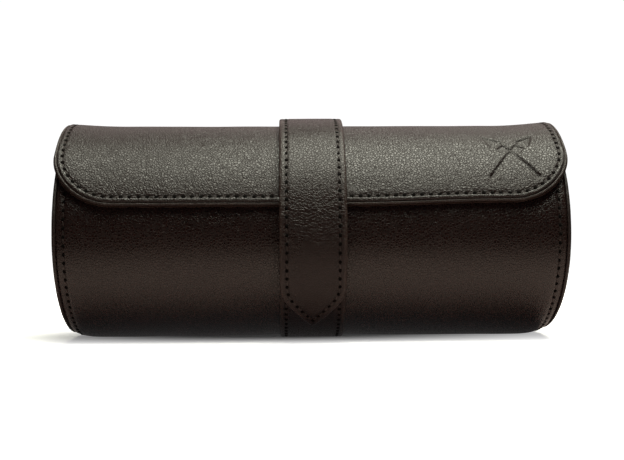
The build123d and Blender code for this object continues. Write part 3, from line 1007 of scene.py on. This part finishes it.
lower_sides = [fractions(22), fractions(84), fractions(22), fractions(84)]


def lower_line(inset):
    """Outline of the lower strap."""
    return outline(LOWER_CORNERS, inset, [4, 4, 4, 4], lower_sides)


lower_strap = leather_sheet(
    "lower_strap_hide", lower_line, (2, 26, 88), LOWER_PROFILE, on_lower
)
lower_strap.data.materials.append(HIDE_STRAP)
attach(lower_strap, "root")
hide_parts("base_strap")


# ---- stitches -------------------------------------------------------------------------------
# Waxed brown thread in one row 3 mm inside every edge, 3.3 mm a stitch. Each stitch is a short
# arched loop that sinks at both ends into a punched hole; the hole's shade is painted as a dark
# pit on the surface.
STITCH_PITCH = 0.0033


def thread_material():
    """Twisted waxed thread."""
    made, tree, shader = material("waxed_thread")
    inputs = {"Vector": object_place(tree), "Scale": 900, "Distortion": 1.5}
    twist = wire(tree, "ShaderNodeTexWave", inputs).outputs["Fac"]
    lit = colour_mix(tree, twist, (0.016, 0.009, 0.008, 1), (0.034, 0.021, 0.018, 1))
    feed(tree, shader, {"Base Color": lit, "Roughness": 0.55})
    emboss(tree, shader, twist, 0.4, 0.00008)
    return made


def hole_shade_material():
    """Painted shade for a punched hole: near-black and matt, for blobs laid on the leather."""
    made, tree, shader = material("painted_hole_shade")
    fuzz = noise_at(tree, object_place(tree), 2600)["Fac"]
    dark = colour_mix(tree, fuzz, (0.0008, 0.0005, 0.0004, 1), (0.003, 0.0018, 0.0015, 1))
    feed(tree, shader, {"Base Color": dark, "Roughness": 0.95, "Specular IOR Level": 0.1})
    return made


def stitch_tree():
    """Rows of stitches along edge loops, standing on the roll's surface."""
    tree = bpy.data.node_groups.new("stitch_row", "GeometryNodeTree")
    tree.is_modifier = True
    for label, kind, start in (
        ("Seams", "NodeSocketGeometry", None),
        ("Pitch", "NodeSocketFloat", STITCH_PITCH),
        ("Stitch length", "NodeSocketFloat", 0.0023),
        ("Thread width", "NodeSocketFloat", 0.00050),
        ("Thread height", "NodeSocketFloat", 0.00042),
        ("Hole size", "NodeSocketFloat", 0.0018),
        ("Hole depth", "NodeSocketFloat", 0.00048),
        ("Axis height", "NodeSocketFloat", 0.04),
        ("Seed", "NodeSocketInt", 3),
        ("Thread", "NodeSocketMaterial", None),
        ("Hole shade", "NodeSocketMaterial", None),
    ):
        socket = tree.interface.new_socket(name=label, in_out="INPUT", socket_type=kind)
        if start is not None:
            socket.default_value = start
    tree.interface.new_socket(name="Stitches", in_out="OUTPUT", socket_type="NodeSocketGeometry")
    given = wire(tree, "NodeGroupInput", {}).outputs
    curve = wire(tree, "GeometryNodeMeshToCurve", {0: given["Seams"]}).outputs[0]
    spread_out = {"Curve": curve, "Length": given["Pitch"]}
    points = wire(tree, "GeometryNodeCurveToPoints", spread_out, mode="LENGTH").outputs
    place = wire(tree, "GeometryNodeInputPosition", {}).outputs[0]
    parts = wire(tree, "ShaderNodeSeparateXYZ", {0: place}).outputs
    rise = maths(tree, "SUBTRACT", parts["Z"], given["Axis height"])
    outward = wire(tree, "ShaderNodeCombineXYZ", {"Y": parts["Y"], "Z": rise}).outputs[0]
    turn = wire(
        tree,
        "FunctionNodeAxesToRotation",
        {"Primary Axis": points["Tangent"], "Secondary Axis": outward},
        primary_axis="X",
        secondary_axis="Z",
    ).outputs["Rotation"]
    vary = wire(
        tree,
        "FunctionNodeRandomValue",
        {0: (0.93, 0.9, 0.9), 1: (1.05, 1.1, 1.1), "Seed": given["Seed"]},
        data_type="FLOAT_VECTOR",
    ).outputs["Value"]

    def laid(size, shift, slant, finish, rings):
        """A squashed ball on every point, shifted by a share of the pitch."""
        sphere = {"Segments": 8, "Rings": rings, "Radius": 0.5}
        ball = wire(tree, "GeometryNodeMeshUVSphere", sphere).outputs["Mesh"]
        scale = wire(tree, "ShaderNodeCombineXYZ", dict(zip("XYZ", size))).outputs[0]
        along = maths(tree, "MULTIPLY", given["Pitch"], shift)
        offset = wire(tree, "ShaderNodeCombineXYZ", {"X": along}).outputs[0]
        moved = wire(tree, "GeometryNodeTransform", {
            "Geometry": ball, "Translation": offset, "Rotation": (0, 0, slant), "Scale": scale
        }).outputs["Geometry"]
        copies = wire(tree, "GeometryNodeInstanceOnPoints", {
            "Points": points["Points"], "Instance": moved, "Rotation": turn, "Scale": vary
        }).outputs["Instances"]
        real = wire(tree, "GeometryNodeRealizeInstances", {"Geometry": copies}).outputs[0]
        soft = wire(tree, "GeometryNodeSetShadeSmooth", {"Geometry": real}).outputs[0]
        painted = {"Geometry": soft, "Material": given[finish]}
        return wire(tree, "GeometryNodeSetMaterial", painted).outputs["Geometry"]

    thread_size = (given["Stitch length"], given["Thread width"], given["Thread height"])
    hole_size = (given["Hole size"], given["Hole size"], given["Hole depth"])
    threads = laid(thread_size, 0.0, radians(7), "Thread", 6)
    # Each hole is a near-black blob laid on the leather, half a stitch along: painted shade, not
    # an opening.
    hole_shade_pits = laid(hole_size, 0.5, 0.0, "Hole shade", 4)
    together = wire(tree, "GeometryNodeJoinGeometry", {})
    for row in (threads, hole_shade_pits):
        feed(tree, together, {0: row})
    feed(tree, wire(tree, "NodeGroupOutput", {}), {0: together.outputs[0]})
    return tree


STITCH_TREE = stitch_tree()
WAXED_THREAD = thread_material()
# Painted shade for the thread holes.
PAINTED_HOLE_SHADE = hole_shade_material()


def stitches(name, seams, hole=0.0015):
    """Stitches along seams, each a list of points and True if it closes on itself."""
    vertices, edges = [], []
    for points, closed in seams:
        first = len(vertices)
        vertices.extend(points)
        count = len(points)
        edges.extend((first + step, first + step + 1) for step in range(count - 1))
        if closed:
            edges.append((first + count - 1, first))
    mesh = bpy.data.meshes.new(name + "_seams")
    mesh.from_pydata(vertices, edges, [])
    seam = new_object(name + "_seams", mesh)
    rows = seam.modifiers.new("rows", "NODES")
    rows.node_group = STITCH_TREE
    inputs = {
        item.name: item.identifier
        for item in STITCH_TREE.interface.items_tree
        if item.item_type == "SOCKET" and item.in_out == "INPUT"
    }
    rows[inputs["Axis height"]] = AXIS_HEIGHT
    rows[inputs["Hole size"]] = hole
    rows[inputs["Thread"]] = WAXED_THREAD
    rows[inputs["Hole shade"]] = PAINTED_HOLE_SHADE
    bpy.context.view_layer.update()
    depsgraph = bpy.context.evaluated_depsgraph_get()
    made_mesh = bpy.data.meshes.new_from_object(seam.evaluated_get(depsgraph))
    made_mesh.name = name
    made = new_object(name, made_mesh)
    bpy.data.objects.remove(seam)
    bpy.data.meshes.remove(mesh)
    return made


def seam_points(points, place, height):
    """A seam's points on a sheet, kept clear of the table."""
    placed = [place(point.x, point.y, height) for point in points]
    for point in placed:
        point.z = max(point.z, 0.00035)
    return placed


body_seam = outline(BODY_CORNERS, BODY_STITCH_INSET, [4, 4, 4, 4], body_sides)
lower_seam = lower_line(LOWER_STITCH_INSET)
root_stitches = stitches(
    "root_stitches",
    [
        (seam_points(body_seam, on_body, -0.00018), True),
        (seam_points(lower_seam, on_lower, -0.00016), True),
    ],
)
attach(root_stitches, "root")

back_line = strap_back_line(STRAP_STITCH_INSET)
back_seam = [point for point in back_line if point.y > STITCH_PITCH * 0.8]
right_run = sorted(
    (p for p in back_seam if p.x > STRAP_HALF - STRAP_STITCH_INSET - 1e-5), key=lambda p: p.y
)
left_run = sorted(
    (p for p in back_seam if p.x < -STRAP_HALF + STRAP_STITCH_INSET + 1e-5), key=lambda p: -p.y
)
back_seam = right_run + left_run
flap_stitches = stitches(
    "flap_stitches",
    [
        (seam_points(flap_line(FLAP_STITCH_INSET), on_flap, -0.00024), True),
        (seam_points(back_seam, on_strap_back, -0.00020), False),
    ],
    hole=0.0018,
)
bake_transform(flap_stitches)

front_line = strap_front_line(STRAP_STITCH_INSET)
right_run = [p for p in front_line if p.x > -1e-6 and p.y < STRAP_LENGTH - 0.004]
left_run = [p for p in front_line if p.x < -1e-6 and p.y < STRAP_LENGTH - 0.004]
right_run.sort(key=lambda p: (p.y, p.x))
left_run.sort(key=lambda p: (-p.y, p.x))
seam_x = STRAP_HALF - STRAP_STITCH_INSET
front_seam = [
    Vector((-seam_x, STRAP_LENGTH)), *left_run, *right_run, Vector((seam_x, STRAP_LENGTH))
]
strap_stitches = stitches(
    "strap_stitches", [(seam_points(front_seam, on_strap_front, -0.00020), False)]
)
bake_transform(strap_stitches)


# ---- inside ---------------------------------------------------------------------------------
# The wall and the ends are lined with the same suede. A stiffer suede panel carries two bands
# of black woven elastic, sewn down every few centimetres to make loops for the brushes.
SUEDE_PANEL = suede("suede_panel", (0.045, 0.029, 0.022, 1), (0.072, 0.048, 0.037, 1), scale=1.2)
cover(SUEDE_BROWN, "body_lining", "right_end_lining", "left_end_lining")
cover(SUEDE_PANEL, "loop_panel")


def woven_elastic():
    """Ribbed elastic: ribs along the band and fine picks across it."""
    made, tree, shader = material("woven_elastic")
    place = object_place(tree)
    ribs = wire(
        tree, "ShaderNodeTexWave", {"Vector": place, "Scale": 190}, bands_direction="X"
    ).outputs["Fac"]
    picks = wire(tree, "ShaderNodeTexVoronoi", {"Vector": place, "Scale": 1500})
    weave = maths(tree, "ADD", maths(tree, "MULTIPLY", ribs, 0.7), picks.outputs["Distance"])
    lit = colour_mix(tree, weave, (0.006, 0.006, 0.006, 1), (0.028, 0.027, 0.026, 1))
    feed(tree, shader, {"Base Color": lit, "Roughness": 0.8, "Specular IOR Level": 0.25})
    emboss(tree, shader, weave, 0.6, 0.0002)
    return made


cover(woven_elastic(), "right_elastic", "left_elastic")


# ---- stiffeners, magnet and plate -------------------------------------------------------------
# None of these shows while the case is whole: a sheet of foam cut a little inside the flap's
# outline, which bends with it, foam in the strap, a magnet in the tail and a steel plate in the
# wall for it to find.
def plain_core(name, colour, flecked, scale, roughness, metallic=0.0, stretch=(1, 1, 1)):
    """Foam, magnet or steel: one colour broken up by cells, flecks or brushing."""
    made, tree, shader = material(name)
    inputs = {"Vector": object_place(tree), "Scale": stretch}
    along = wire(tree, "ShaderNodeMapping", inputs).outputs["Vector"]
    flecks = noise_at(tree, along, scale, Detail=5)["Fac"]
    feed(tree, shader, {
        "Base Color": colour_mix(tree, flecks, colour, flecked),
        "Roughness": maths(tree, "MULTIPLY_ADD", flecks, 0.15, roughness - 0.07),
        "Metallic": metallic,
    })
    emboss(tree, shader, flecks, 0.3, 0.0001)
    return made


FLAT_FOAM = plain_core("flat_foam", (0.08, 0.08, 0.08, 1), (0.16, 0.16, 0.16, 1), 1600, 0.8)
FERRITE = plain_core("ferrite", (0.05, 0.05, 0.055, 1), (0.11, 0.11, 0.12, 1), 700, 0.6)
STEEL = plain_core(
    "brushed_steel", (0.42, 0.42, 0.43, 1), (0.62, 0.62, 0.63, 1), 300, 0.35, 1.0, (1, 12, 12)
)
FOAM_INSET = 0.0017
FOAM_PROFILE = [(0.0040, -0.00165), (0.0, -0.00165), (0.0, -0.00125), (0.0040, -0.00125)]
flap_foam = leather_sheet(
    "flap_foam",
    lambda inset: lining_line(inset + LINING_PROUD + FOAM_INSET),
    (15, 200, 90),
    FOAM_PROFILE,
    on_flap,
)
flap_foam.data.materials.append(FLAT_FOAM)
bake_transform(flap_foam)
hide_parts("flap_core")
cover(FLAT_FOAM, "strap_core", "tail_core")
cover(FERRITE, "tail_magnet")
cover(STEEL, "strike_plate")
